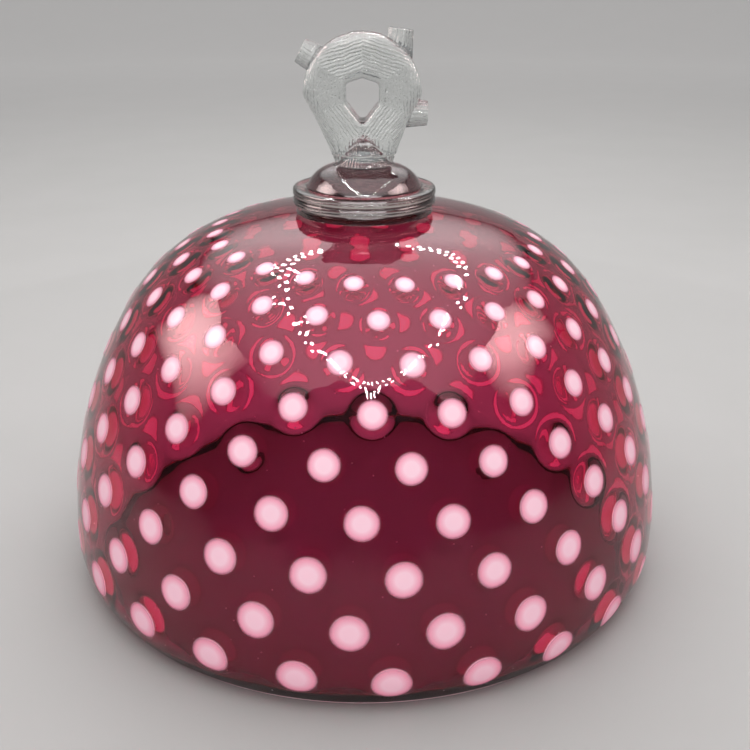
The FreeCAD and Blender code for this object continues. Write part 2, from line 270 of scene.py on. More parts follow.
dotCentres, dotDirections, dotRadii = dotPlaces()
dotCloud = linkObject("dotPlaces", setMesh("dotPlaces", dotCentres, [], {
    "outward": dotDirections, "dotRadius": dotRadii}))


def wallTree():
    tree, given, out = newTree("wallBosses", Places="Object", BossHeight="Float", BossReach="Float",
                               ValleyDepth="Float", CalmRim="Float", Glass="Material")
    places = addNode(tree, "GeometryNodeObjectInfo", {"Object": given["Places"]}).outputs["Geometry"]
    here = addNode(tree, "GeometryNodeInputPosition").outputs[0]
    nearest = addNode(tree, "GeometryNodeSampleNearest", {"Geometry": places, "Sample Position": here},
                      domain="POINT").outputs[0]

    storedOut = addNode(tree, "GeometryNodeInputNamedAttribute", {"Name": "outward"},
                        data_type="FLOAT_VECTOR").outputs[0]
    storedRadius = addNode(tree, "GeometryNodeInputNamedAttribute", {"Name": "dotRadius"},
                           data_type="FLOAT").outputs[0]
    fields = ((here, "FLOAT_VECTOR"), (storedOut, "FLOAT_VECTOR"), (storedRadius, "FLOAT"))
    centre, outward, radius = [
        addNode(tree, "GeometryNodeSampleIndex", {"Geometry": places, "Value": field, "Index": nearest},
                data_type=kind, domain="POINT").outputs[0] for field, kind in fields]

    # how far each point lies from the axis of its nearest dot, as a share of the boss's reach
    away = addNode(tree, "ShaderNodeVectorMath", {0: here, 1: centre}, operation="SUBTRACT").outputs[0]
    along = addNode(tree, "ShaderNodeVectorMath", {0: away, 1: outward},
                    operation="DOT_PRODUCT").outputs["Value"]
    awaySquared = addNode(tree, "ShaderNodeVectorMath", {0: away, 1: away},
                          operation="DOT_PRODUCT").outputs["Value"]
    alongSquared = addNode(tree, "ShaderNodeMath", {0: along, 1: along}, operation="MULTIPLY").outputs[0]
    squared = addNode(tree, "ShaderNodeMath", {0: awaySquared, 1: alongSquared},
                      operation="SUBTRACT").outputs[0]
    reach = addNode(tree, "ShaderNodeMath", {0: radius, 1: given["BossReach"]},
                    operation="MULTIPLY").outputs[0]
    reachSquared = addNode(tree, "ShaderNodeMath", {0: reach, 1: reach}, operation="MULTIPLY").outputs[0]
    share = addNode(tree, "ShaderNodeMath", {0: squared, 1: reachSquared}, operation="DIVIDE").outputs[0]
    rest = addNode(tree, "ShaderNodeMath", {0: 1.0, 1: share}, operation="SUBTRACT").outputs[0]
    within = addNode(tree, "ShaderNodeMath", {0: rest, 1: 0.0}, operation="MAXIMUM").outputs[0]
    bump = addNode(tree, "ShaderNodeMath", {0: within, 1: 1.5}, operation="POWER").outputs[0]  # soft foot

    # the inside swells at the dots, the outside sinks between them, and the rim stays calm
    height = addNode(tree, "ShaderNodeSeparateXYZ", {0: here}).outputs["Z"]
    calm = addNode(tree, "ShaderNodeMapRange", {"Value": height, "From Max": given["CalmRim"]},
                   interpolation_type="SMOOTHSTEP").outputs["Result"]
    inside = addNode(tree, "GeometryNodeInputNamedAttribute", {"Name": "inside"},
                     data_type="FLOAT").outputs[0]
    outside = addNode(tree, "ShaderNodeMath", {0: 1.0, 1: inside}, operation="SUBTRACT").outputs[0]
    calmInside = addNode(tree, "ShaderNodeMath", {0: calm, 1: inside}, operation="MULTIPLY").outputs[0]
    calmOutside = addNode(tree, "ShaderNodeMath", {0: calm, 1: outside}, operation="MULTIPLY").outputs[0]
    swell = addNode(tree, "ShaderNodeMath", {0: bump, 1: given["BossHeight"]},
                    operation="MULTIPLY").outputs[0]
    between = addNode(tree, "ShaderNodeMath", {0: bump, 1: 1.0}, operation="SUBTRACT").outputs[0]
    dip = addNode(tree, "ShaderNodeMath", {0: between, 1: given["ValleyDepth"]},
                  operation="MULTIPLY").outputs[0]
    boss = addNode(tree, "ShaderNodeMath", {0: swell, 1: calmInside}, operation="MULTIPLY").outputs[0]
    valley = addNode(tree, "ShaderNodeMath", {0: dip, 1: calmOutside}, operation="MULTIPLY").outputs[0]
    lift = addNode(tree, "ShaderNodeMath", {0: boss, 1: valley}, operation="ADD").outputs[0]
    push = addNode(tree, "ShaderNodeVectorMath",
                   {0: addNode(tree, "GeometryNodeInputNormal").outputs[0], "Scale": lift},
                   operation="SCALE").outputs[0]
    moved = addNode(tree, "GeometryNodeSetPosition", {"Geometry": given["Geometry"], "Offset": push})
    whole = addNode(tree, "GeometryNodeRealizeInstances", {0: moved.outputs[0]})
    finished = addNode(tree, "GeometryNodeSetMaterial", {"Geometry": whole.outputs[0],
                                                         "Material": given["Glass"]})
    tree.links.new(finished.outputs[0], out.inputs[0])
    return tree


def rubyGlass():
    # Gold-ruby ("cranberry") glass, blown and fire-polished: deep raspberry where it is seen
    # through twice, pink where it is thin, with a wet gloss that a few specks of dust break.
    material, tree, output = newMaterial("goldRubyGlassFirePolished")
    place = addNode(tree, "ShaderNodeTexCoord").outputs["Object"]
    soft = addNode(tree, "ShaderNodeTexNoise", {"Vector": place, "Scale": 1 / (14 * mm), "Detail": 2.0})
    specks = addNode(tree, "ShaderNodeTexVoronoi", {"Vector": place, "Scale": 1 / (5 * mm)})
    speck = addNode(tree, "ShaderNodeMapRange", {"Value": specks.outputs["Distance"], "From Min": 0.03,
                                                 "From Max": 0.07, "To Min": 0.35, "To Max": 0.0})
    rough = addNode(tree, "ShaderNodeMath", {0: speck.outputs["Result"], 1: 0.012}, operation="ADD")
    bump = addNode(tree, "ShaderNodeBump", {"Height": soft.outputs["Fac"], "Strength": 0.06,
                                            "Distance": 1 * mm})
    glass = addNode(tree, "ShaderNodeBsdfPrincipled", {
        "Base Color": hexColour("#FFF4F6"), "IOR": 1.5, "Transmission Weight": 1.0,
        "Specular Tint": hexColour("#FFDDE2"),
        "Roughness": rough.outputs[0], "Normal": bump.outputs["Normal"]})
    stain = addNode(tree, "ShaderNodeVolumeAbsorption", {"Color": (0.76, 0.0, 0.33, 1.0),
                                                         "Density": 430.0})
    tree.links.new(glass.outputs[0], output.inputs["Surface"])
    tree.links.new(stain.outputs[0], output.inputs["Volume"])
    return material


def makeWall():
    outer, inner = wallOutline(0), wallOutline(wall["thickness"])
    soft = wall["rimRounding"]
    outerFoot, innerFoot = outer[0], inner[0]
    outer = [p for p in outer if p[1] > soft]
    inner = [p for p in inner if p[1] > soft]
    flat = [(outerFoot[0] - soft, 0.0), (innerFoot[0] + soft, 0.0)]
    outline = outer[::-1] + roundCorner(outer[0], outerFoot, flat[0])[1:]
    outline += roundCorner(flat[1], innerFoot, inner[0])[:-1]
    inside = [0.0] * len(outline) + [1.0] * len(inner)
    base = turn("bellWall", outline + inner, wall["around"], {"inside": np.array(inside)})
    piece = grow("bellWall", base, wallTree(), Places=dotCloud, BossHeight=wall["bossHeight"] * mm,
                 BossReach=wall["bossReach"], ValleyDepth=wall["valleyDepth"] * mm,
                 CalmRim=wall["calmRim"] * mm, Glass=rubyGlass())
    finishPiece(piece, "ruby_glass", "ruby_lining", "opalescent_casing")
    return piece


bellWall = makeWall()
print("wall blown,", len(bellWall.data.polygons), "faces")


# ground rim: a fine frosted line where the wall was cut level
rim = {
    "height": 0.42, "reach": 0.07, "width": 0.5,
    "toe": 0.1, "kneeShare": 0.45, "flare": 0.2, "tuck": 0.05,  # its small faceted section
}


def groundGlass():
    # Glass ground flat with grit: frosted, so it shows as a pale line.
    material, tree, output = newMaterial("groundGlassFrosted")
    place = addNode(tree, "ShaderNodeTexCoord").outputs["Object"]
    grit = addNode(tree, "ShaderNodeTexNoise", {"Vector": place, "Scale": 1 / (0.8 * mm), "Detail": 2.0})
    tone = addNode(tree, "ShaderNodeValToRGB", {"Fac": grit.outputs["Fac"]})
    tone.color_ramp.elements[0].color = hexColour("#E9A9B8")
    tone.color_ramp.elements[1].color = hexColour("#FFE9EE")
    bump = addNode(tree, "ShaderNodeBump", {"Height": grit.outputs["Fac"], "Strength": 0.3,
                                            "Distance": 0.1 * mm})
    frosted = addNode(tree, "ShaderNodeBsdfPrincipled", {
        "Base Color": tone.outputs["Color"], "IOR": 1.5, "Roughness": 0.45,
        "Normal": bump.outputs["Normal"]})
    tree.links.new(frosted.outputs[0], output.inputs["Surface"])
    return material


def makeRim():
    edge = wallOutline(0)[0][0]
    out, inner, top = edge + rim["reach"], edge - rim["width"], rim["height"]
    section = [(inner, 0.0), (edge - rim["toe"], 0.0), (out, top * rim["kneeShare"]),
               (out + rim["flare"], top), (edge - rim["tuck"], top), (inner, rim["toe"])]
    around, faces = wall["around"], []
    for row in range(len(section)):
        a, b = row * around, (row + 1) % len(section) * around
        faces += [(a + k, a + (k + 1) % around, b + (k + 1) % around, b + k) for k in range(around)]
    mesh = setMesh("groundRim", ringsOf(section, around), faces)
    piece = linkObject("groundRim", outwards(mesh))
    piece.data.materials.append(groundGlass())
    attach(piece, "root")
    return piece


groundRim = makeRim()
print("rim ground")


# opal dots: thin lenses that lie in the outside of the wall, feathered at the edge
opal = {
    "spread": 1.22,  # times the dot's own radius, because its feathered edge reaches past it
    "proud": 0.035,  # the front stands this far off the wall
    "segments": 22,
    "frontRings": (0.22, 0.42, 0.6, 0.76, 0.9, 1.0), "backRing": 0.74, "backDepth": 0.17,
    "backCrown": 1.3,  # the middle of the back lies this much deeper than its ring
    "frontMilk": 0.55, "backMilk": 0.95,  # share of the light that each skin lets through
    # strength of the painted glow on the back skins, an emission standing in for light scattered in the
    # opal
    "paintedBackGlow": 0.85,
}


def dotBlank():  # unit lens: where each point lies across it, and how far it sinks
    count = opal["segments"]
    rings = [(share, 0.0) for share in opal["frontRings"]] + [(opal["backRing"], -opal["backDepth"])]
    points, spread, sink = [(0, 0, 0)], [0.0], [0.0]
    for share, depth in rings:
        for k in range(count):
            angle = 2 * math.pi * k / count
            points.append((share * math.cos(angle), share * math.sin(angle), 0))
            spread.append(share)
            sink.append(depth)
    points.append((0, 0, 0))
    spread.append(0.0)
    sink.append(-opal["backCrown"] * opal["backDepth"])
    faces = []
    for k in range(count):
        n = (k + 1) % count
        faces.append((0, 1 + k, 1 + n))
        for ring in range(len(rings) - 1):
            a, b = 1 + ring * count, 1 + (ring + 1) * count
            faces.append((a + k, b + k, b + n, a + n))
        a = 1 + (len(rings) - 1) * count
        faces.append((a + n, a + k, len(points) - 1))
    back = [1.0 if depth < 0 else 0.0 for depth in sink]
    blank = setMesh("dotBlank", points, faces, {"spread": spread, "sink": sink, "back": back})
    blank.polygons.foreach_set("use_smooth", [True] * len(blank.polygons))
    return linkObject("dotBlank", blank)


def dotTree():
    tree, given, out = newTree("opalDots", Blank="Object", Wall="Object", Spread="Float",
                               Proud="Float", Opal="Material")
    blank = addNode(tree, "GeometryNodeObjectInfo", {"Object": given["Blank"]}).outputs["Geometry"]
    wallShape = addNode(tree, "GeometryNodeObjectInfo", {"Object": given["Wall"]}).outputs["Geometry"]
    outward = addNode(tree, "GeometryNodeInputNamedAttribute", {"Name": "outward"},
                      data_type="FLOAT_VECTOR").outputs[0]
    radius = addNode(tree, "GeometryNodeInputNamedAttribute", {"Name": "dotRadius"},
                     data_type="FLOAT").outputs[0]
    size = addNode(tree, "ShaderNodeMath", {0: radius, 1: given["Spread"]}, operation="MULTIPLY")
    facing = addNode(tree, "FunctionNodeAlignRotationToVector", {"Vector": outward}, axis="Z")
    placed = addNode(tree, "GeometryNodeInstanceOnPoints", {
        "Points": given["Geometry"], "Instance": blank, "Rotation": facing.outputs[0],
        "Scale": size.outputs[0]})
    whole = addNode(tree, "GeometryNodeRealizeInstances", {0: placed.outputs[0]})
    touch = addNode(tree, "GeometryNodeProximity", {0: wallShape}, target_element="FACES")
    sink = addNode(tree, "GeometryNodeInputNamedAttribute", {"Name": "sink"}, data_type="FLOAT").outputs[0]
    depth = addNode(tree, "ShaderNodeMath", {0: sink, 1: radius, 2: given["Proud"]},
                    operation="MULTIPLY_ADD")
    lift = addNode(tree, "ShaderNodeVectorMath", {0: outward, "Scale": depth.outputs[0]},
                   operation="SCALE")
    onWall = addNode(tree, "ShaderNodeVectorMath", {0: touch.outputs["Position"], 1: lift.outputs[0]},
                     operation="ADD")
    laid = addNode(tree, "GeometryNodeSetPosition", {"Geometry": whole.outputs[0],
                                                     "Position": onWall.outputs[0]})
    finished = addNode(tree, "GeometryNodeSetMaterial", {"Geometry": laid.outputs[0],
                                                         "Material": given["Opal"]})
    tree.links.new(finished.outputs[0], out.inputs[0])
    return tree


def opalGlass():
    # Opal glass struck white by reheating: milky where it is thick and pink where it thins into
    # the ruby, under the same wet gloss. Its back skin carries a painted glow: a pale pink emission
    # that stands in for light scattering inside the opal.
    material, tree, output = newMaterial("opalGlassStruckWhite")
    place = addNode(tree, "ShaderNodeTexCoord").outputs["Object"]
    spread = addNode(tree, "ShaderNodeAttribute", attribute_name="spread").outputs["Fac"]
    cloud = addNode(tree, "ShaderNodeTexNoise", {"Vector": place, "Scale": 1 / (6 * mm), "Detail": 3.0})
    edge = addNode(tree, "ShaderNodeMath", {0: cloud.outputs["Fac"], 1: 0.12, 2: spread},
                   operation="MULTIPLY_ADD").outputs[0]
    solid = addNode(tree, "ShaderNodeMapRange", {"Value": edge, "From Min": 0.72, "From Max": 1.02,
                                                 "To Min": 1.0, "To Max": 0.0},
                    interpolation_type="SMOOTHERSTEP").outputs["Result"]
    tint = addNode(tree, "ShaderNodeValToRGB", {"Fac": edge})
    tint.color_ramp.elements[0].color = hexColour("#F8E4EC")
    tint.color_ramp.elements[0].position = 0.45
    tint.color_ramp.elements[1].color = hexColour("#E887A8")
    tint.color_ramp.elements[1].position = 0.95
    face = addNode(tree, "ShaderNodeBsdfPrincipled", {
        "Base Color": tint.outputs["Color"], "IOR": 1.5, "Roughness": 0.06,
        "Coat Weight": 0.3, "Coat Roughness": 0.02})
    through = addNode(tree, "ShaderNodeBsdfTranslucent", {"Color": tint.outputs["Color"]})
    back = addNode(tree, "ShaderNodeAttribute", attribute_name="back").outputs["Fac"]
    passing = addNode(tree, "ShaderNodeMapRange", {"Value": back, "To Min": opal["frontMilk"],
                                                   "To Max": opal["backMilk"]}).outputs["Result"]
    milk = addNode(tree, "ShaderNodeMixShader", {0: passing, 1: face.outputs[0], 2: through.outputs[0]})
    clear = addNode(tree, "ShaderNodeBsdfTransparent")
    mixed = addNode(tree, "ShaderNodeMixShader", {0: solid, 1: clear.outputs[0], 2: milk.outputs[0]})
    # painted glow: where the back skin is solid it emits pale pink light, in place of light scattered
    # inside the opal
    body = addNode(tree, "ShaderNodeMath", {0: back, 1: solid}, operation="MULTIPLY").outputs[0]
    strength = addNode(tree, "ShaderNodeMath", {0: body, 1: opal["paintedBackGlow"]}, operation="MULTIPLY")
    glow = addNode(tree, "ShaderNodeEmission", {"Color": hexColour("#FFE3EA"),
                                                "Strength": strength.outputs[0]})
    lit = addNode(tree, "ShaderNodeAddShader", {0: mixed.outputs[0], 1: glow.outputs[0]})
    tree.links.new(lit.outputs[0], output.inputs["Surface"])
    return material


def makeDots():
    blank = dotBlank()
    piece = grow("opalDots", dotCloud.data, dotTree(), Blank=blank, Wall=bellWall, Spread=opal["spread"],
                 Proud=opal["proud"] * mm, Opal=opalGlass())
    bpy.data.objects.remove(blank)
    finishPiece(piece, "opal_glass", *sorted(n for n in nodes if n.startswith("opal_dots_row_")))
    return piece


opalDots = makeDots()
bpy.data.objects.remove(dotCloud)
print("dots struck,", len(opalDots.data.polygons), "faces")


# clear crystal: wad, collar, foot, twig ring and stubs
def clearCrystal(name, ripple, rough, tint):
    # Clear pressed crystal, fire-polished: bright edges, and a skin that ripples a little.
    material, tree, output = newMaterial(name)
    place = addNode(tree, "ShaderNodeTexCoord").outputs["Object"]
    skin = addNode(tree, "ShaderNodeTexNoise", {"Vector": place, "Scale": 1 / (3.2 * mm), "Detail": 3.0})
    bump = addNode(tree, "ShaderNodeBump", {"Height": skin.outputs["Fac"], "Strength": ripple,
                                            "Distance": 1 * mm})
    haze = addNode(tree, "ShaderNodeMapRange", {"Value": skin.outputs["Fac"], "From Min": 0.35,
                                                "From Max": 0.75, "To Min": rough * 0.4,
                                                "To Max": rough})
    glass = addNode(tree, "ShaderNodeBsdfPrincipled", {
        "Base Color": hexColour(tint), "IOR": 1.52, "Transmission Weight": 1.0,
        "Roughness": haze.outputs["Result"], "Normal": bump.outputs["Normal"]})
    body = addNode(tree, "ShaderNodeVolumeAbsorption", {"Color": (0.75, 0.8, 0.78, 1.0), "Density": 22.0})
    tree.links.new(glass.outputs[0], output.inputs["Surface"])
    tree.links.new(body.outputs[0], output.inputs["Volume"])
    return material


polished = clearCrystal("clearCrystalFirePolished", 0.12, 0.03, "#FFF9F5")
paintedPinkCrystal = clearCrystal("clearCrystalPaintedRubyPink", 0.12, 0.03, "#F8D3DB")  # painted pink: the clear crystal's colour stands in for pink light from the ruby crown seen through it
bark = clearCrystal("clearCrystalBarkPressed", 0.25, 0.09, "#FBFDFC")

collar = {
    "bead": 1.5, "groove": 0.75, "grooveShare": 0.45, "edgePoints": 61,
    "lineDepth": 0.16, "lineWidth": 0.07,
    "flat": 2.2, "land": 3.0, "lip": (3.4, 4.2, 4.6), "dishStart": 5.2, "dish": 0.35,  # in from the edge
    "hub": 2.0, "rings": 8, "around": 256,
}


def makeCollar():  # thick disc with two beads, a groove between them and a fine line on each
    low, high = (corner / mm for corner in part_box("collar_disc"))
    radius, base, top = high.x, low.z, high.z
    half = (top - base) / 2
    flat, dished = radius - collar["flat"], top - collar["dish"]
    outline = [(0.0, base)] + [(r, base) for r in np.linspace(collar["hub"], flat, collar["rings"])]
    for share in np.linspace(0, 1, collar["edgePoints"]):  # edge, from its lower to its upper corner
        height = base + 2 * half * share
        across = (height - base) % half / half  # place on one bead
        swell = math.sqrt(max(0.0, 1 - (2 * across - 1) ** 2)) if 0 < share < 1 else 0.0
        line = collar["lineDepth"] * math.exp(-((across - 0.5) / collar["lineWidth"]) ** 2)
        waist = collar["groove"] if abs(share - 0.5) < collar["grooveShare"] else collar["bead"]
        outline.append((radius - waist * (1 - swell) - line, height))
    outline += [(flat, top), (radius - collar["land"], top)]
    before, corner, after = (radius - inset for inset in collar["lip"])
    outline += roundCorner((before, top), (corner, top), (after, dished))
    outline += [(r, dished) for r in np.linspace(radius - collar["dishStart"], collar["hub"],
                                                 collar["rings"])]
    outline += [(0.0, dished)]
    piece = linkObject("collarDisc", turn("collarDisc", outline, collar["around"]))
    piece.data.materials.append(polished)
    finishPiece(piece, "clear_crystal", "collar_disc")
    return piece


wad = {
    "fillet": 2.6, "step": 0.35, "bite": 0.12,  # bites into the collar, so that no gap shows
    "seat": 0.1, "sink": 0.25, "skirt": 0.2, "hub": 2.0, "rings": 12,
    "topRings": (6.0, 12.0), "land": 1.0,
}


def makeWad():  # hollow fillet of clear glass between the crown and the collar
    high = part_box("crown_wad")[1] / mm
    fillet, reach, top = wad["fillet"], high.x, high.z + wad["bite"]
    crownTop = wallOutline(0)[-1][1]
    centre, radius = wallArcs(0)[-1][:2]

    def crownHeight(across):
        return centre[1] + math.sqrt(radius ** 2 - across ** 2)

    outline = [(r, top) for r in (0.0, *wad["topRings"], reach - fillet - wad["land"], reach - fillet)]
    sweep = arcPoints((reach, high.z), fillet, 180, 270, wad["step"])
    outline += [(x, max(z, crownHeight(x) - wad["seat"])) for x, z in sweep]
    outline += [(x, crownHeight(x) - wad["sink"])
                for x in np.linspace(reach - wad["skirt"], wad["hub"], wad["rings"])]
    outline += [(0.0, crownTop - wad["sink"])]
    piece = linkObject("crownWad", turn("crownWad", outline, collar["around"]))
    piece.data.materials.append(paintedPinkCrystal)
    finishPiece(piece, "clear_crystal", "crown_wad")
    return piece


foot = {
    "moundArc": 9.7, "moundPoints": 26, "neck": 9.4, "around": 272,
    "toe": 0.5, "lap": 0.1, "hub": 8.0,
    "top": ((0.6, 0.3), (1.6, 0.35), (4.4, 0.35)),  # in from the neck, and up into the ring's stem
}


def makeFoot():  # mound that swells from the collar up to the neck of the twig
    low, high = (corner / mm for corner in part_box("handle_foot"))
    base, seat = low.z, high.x
    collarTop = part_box("collar_disc")[1].z / mm
    neck, neckBase = foot["neck"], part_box("ring_handle")[0].z / mm
    rise, run = neckBase - collarTop, seat - neck
    chord = math.hypot(rise, run)
    sag = foot["moundArc"] - math.sqrt(foot["moundArc"] ** 2 - chord ** 2 / 4)
    outline = [(0.0, base), (foot["hub"], base), (seat - foot["toe"], base)]
    outline += roundCorner(outline[-1], (seat, base), (seat, collarTop - foot["lap"]), 5)[1:]
    for share in np.linspace(0, 1, foot["moundPoints"]):
        swell = sag * 4 * share * (1 - share)
        outline.append((seat - run * share + swell * rise / chord,
                        collarTop + rise * share + swell * run / chord))
    outline += [(neck - inset, neckBase + lift) for inset, lift in foot["top"]]
    outline += [(0.0, outline[-1][1])]
    piece = linkObject("handleFoot", turn("handleFoot", outline, foot["around"]))
    piece.data.materials.append(paintedPinkCrystal)
    finishPiece(piece, "clear_crystal", "handle_foot")
    return piece


collarDisc, crownWad, handleFoot = makeCollar(), makeWad(), makeFoot()
print("collar, wad and foot turned")

twig = {
    "voxel": 0.22, "smoothing": 0.5, "rounds": 4,  # the even skin that the bark is pressed into
    "centre": (-0.4, 143.1),  # x and z of the middle of the ring
    "hole": ((0, -8.2), (4.7, -2.2), (4.7, 3.2), (0, 4.7), (-4.7, 3.2), (-4.7, -2.2)),  # its corners
    "bevel": 1.5,  # smooth border round the hole
    "pitch": 0.95, "depth": 0.5, "facetShift": 0.37,  # ribs side by side with each side of the hole
    "drift": ((0.32, 3.5, 4), (0.25, 1.2, 9)),  # how far the ribs stray: amount, scale and seed
    "evenDepth": 0.65, "unevenDepth": 0.35,
    "waistTop": 126.6, "waistInset": 0.55, "waistFlutes": 0.35, "waistFade": 0.5,
    "ragged": (0.5, 1.1, 2), "rootFade": 0.8,
    "stemHeights": (122.8, 130.8), "stemRadii": (9.4, 5.6), "stemFade": 0.3,
    "flutePitch": 1.05, "fluteDepth": 0.3,
}


def remeshed(name, node, voxel):  # one closed, even skin over a merged copy of the CAD solid
    holder = linkObject(name, outwards(node.data.copy()))
    cover = holder.modifiers.new("skin", "REMESH")
    cover.mode, cover.voxel_size = "VOXEL", voxel * mm
    even = holder.modifiers.new("even", "SMOOTH")
    even.factor, even.iterations = twig["smoothing"], twig["rounds"]
    made = bpy.data.meshes.new_from_object(holder.evaluated_get(bpy.context.evaluated_depsgraph_get()))
    holder.modifiers.clear()
    holder.data = made
    made.materials.clear()
    made.materials.append(bark)
    made.polygons.foreach_set("use_smooth", [True] * len(made.polygons))
    return holder


def vectorsOf(items, key):
    found = np.empty(len(items) * 3, np.float32)
    items.foreach_get(key, found)
    return found.reshape(-1, 3).astype(float)


def skinOf(piece):  # points in millimetres, and their normals
    return vectorsOf(piece.data.vertices, "co") / mm, vectorsOf(piece.data.vertex_normals, "vector")


def press(piece, points, normals, cut):  # sinks each point along its normal by its cut
    moved = (points - normals * cut[:, None]) * mm
    piece.data.vertices.foreach_set("co", moved.astype(np.float32).ravel())
    piece.data.update()


def ridge(phase):  # rounded ridge with a narrow groove at every whole number
    return np.abs(np.sin(np.pi * phase)) ** 0.55


def wanderAt(points, amount, scale, seed):  # smooth noise
    return amount * np.array([noise.noise(Vector(p) / scale + Vector((seed, seed, seed)))
                              for p in points])


def makeRing():
    piece = remeshed("twigRing", nodes["ring_handle"], twig["voxel"])
    points, normals = skinOf(piece)
    x, y, z = points.T

    # ribs that run side by side with the hole
    flat, corners, reaches = points[:, [0, 2]] - twig["centre"], twig["hole"], []
    for here, after in zip(corners, corners[1:] + corners[:1]):
        side = np.subtract(after, here)
        away = np.array([side[1], -side[0]]) / np.hypot(*side)
        reaches.append((flat - here) @ away)
    reach, facet = np.max(reaches, 0), np.argmax(reaches, 0)
    drift = sum(wanderAt(points, *part) for part in twig["drift"])
    phase = (reach - twig["bevel"]) / twig["pitch"] + facet * twig["facetShift"] + drift
    ribs = np.where(reach > twig["bevel"] + drift, ridge(phase), 1.0)
    strength = twig["evenDepth"] + twig["unevenDepth"] * np.sin(np.floor(phase) * 2.4 + facet * 1.7)
    faceOn = np.clip(np.abs(normals[:, 1]) * 1.6, 0.35, 1)

    # upright flutes on the stem and on its waist, just above the mound
    bottom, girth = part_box("ring_handle")[0].z / mm, twig["stemRadii"][0]
    flutes = ridge(np.arctan2(x, -y) * girth / twig["flutePitch"] + 0.5 * drift)
    jag = wanderAt(points * (1, 1, 0), *twig["ragged"])
    waist = np.clip((twig["waistTop"] + jag - z) / twig["waistFade"], 0, 1)
    root = np.clip((z - bottom) / twig["rootFade"], 0, 1)
    stem = np.interp(z, twig["stemHeights"], twig["stemRadii"])
    onStem = np.clip((np.hypot(x, y) - stem + 0.5) / twig["stemFade"], 0, 1)
    onStem *= (z < twig["stemHeights"][1]) * (np.abs(x) < girth - 1)

    cut = twig["depth"] * (1 - ribs) * strength * faceOn * (1 - waist) * (1 - onStem)
    cut += twig["fluteDepth"] * (1 - flutes) * onStem * (1 - waist)
    cut += waist * (twig["waistInset"] * root + twig["waistFlutes"] * (1 - flutes))
    press(piece, points, normals, cut)
    finishPiece(piece, "clear_crystal", "ring_handle")
    return piece


stub = {
    "axes": {  # piece, its CAD node and the way that the twig grows
        "stubUpperLeft": ("twig_stub_upper_left", (-0.883, 0, 0.469)),
        "stubUpperRight": ("twig_stub_upper_right", (0.14, 0, 0.99)),
        "stubSide": ("twig_stub_side", (1.0, 0, -0.03)),
    },
    "voxel": 0.2, "girth": 3.9, "pitch": 1.1, "depth": 0.32, "drift": (0.5, 2.5, 6),
    "endTurn": 0.6, "endFade": 0.25, "grainDepth": 0.15, "grain": (1.0, 0.9, 3),
}


def makeStub(name, node, axis):  # ribs along the twig, and growth lines on its cut end
    piece = remeshed(name, nodes[node], stub["voxel"])
    points, normals = skinOf(piece)
    low, high = (np.array(corner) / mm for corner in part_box(node))
    axis = np.array(axis) / np.linalg.norm(axis)
    side = np.cross(axis, (0, 1, 0))
    away = points - (low + high) / 2
    angle = np.arctan2(away @ side, away[:, 1])
    ribs = ridge(angle * stub["girth"] / stub["pitch"] + wanderAt(points, *stub["drift"]))
    onEnd = np.clip((normals @ axis - stub["endTurn"]) / stub["endFade"], 0, 1)
    cut = stub["depth"] * (1 - ribs) * (1 - onEnd)
    cut += onEnd * stub["grainDepth"] * (0.5 + wanderAt(points, *stub["grain"]))
    press(piece, points, normals, cut)
    finishPiece(piece, "clear_crystal", node)
    return piece


twigRing = makeRing()
stubs = [makeStub(name, *facts) for name, facts in stub["axes"].items()]
print("twig pressed,", len(twigRing.data.polygons), "faces")


# floor and studio light
studio = {
    "floorReach": 2200.0, "backdropHeight": 1400.0, "sweep": 600.0, "sweepStep": 60.0, "around": 96,
    "glowStart": 400.0, "glowEnd": 1700.0, "glow": 0.33,  # the board is lit from below far out
    "behind": 350.0, "frontShare": 0.1,  # and much less in front of the cover
    "panelPoints": 17,
    "lampRows": 2, "rowGap": 0.07, "lampsAround": 60, "lampSize": (11.0, 19.0), "lampStrength": 165.0,
    "ovalCentre": (35.0, 22.0, 655.0), "ovalReach": (295.0, 717.0),
}


def paleFloor():
    # Painted board, matt: an even pale grey with the faintest mottle.
    material, tree, output = newMaterial("paleMattBoard")
    place = addNode(tree, "ShaderNodeTexCoord").outputs["Object"]
    mottle = addNode(tree, "ShaderNodeTexNoise", {"Vector": place, "Scale": 1 / (60 * mm), "Detail": 4.0})
    tone = addNode(tree, "ShaderNodeValToRGB", {"Fac": mottle.outputs["Fac"]})
    tone.color_ramp.elements[0].color = hexColour("#8B8A88")
    tone.color_ramp.elements[1].color = hexColour("#918F8E")
    far = addNode(tree, "ShaderNodeVectorMath", {0: place}, operation="LENGTH")
    glow = addNode(tree, "ShaderNodeMapRange", {
        "Value": far.outputs["Value"], "From Min": studio["glowStart"] * mm,
        "From Max": studio["glowEnd"] * mm, "To Max": studio["glow"]}, interpolation_type="SMOOTHSTEP")
    depth = addNode(tree, "ShaderNodeSeparateXYZ", {0: place}).outputs["Y"]
    behind = addNode(tree, "ShaderNodeMapRange", {
        "Value": depth, "From Min": -studio["behind"] * mm, "From Max": studio["behind"] * mm,
        "To Min": studio["frontShare"]}, interpolation_type="SMOOTHSTEP")
    strength = addNode(tree, "ShaderNodeMath", {0: glow.outputs["Result"], 1: behind.outputs["Result"]},
                       operation="MULTIPLY")
    board = addNode(tree, "ShaderNodeBsdfPrincipled", {
        "Base Color": tone.outputs["Color"], "Roughness": 0.75, "Emission Color": hexColour("#F4F2F1"),
        "Emission Strength": strength.outputs[0]})
    tree.links.new(board.outputs[0], output.inputs["Surface"])
    return material


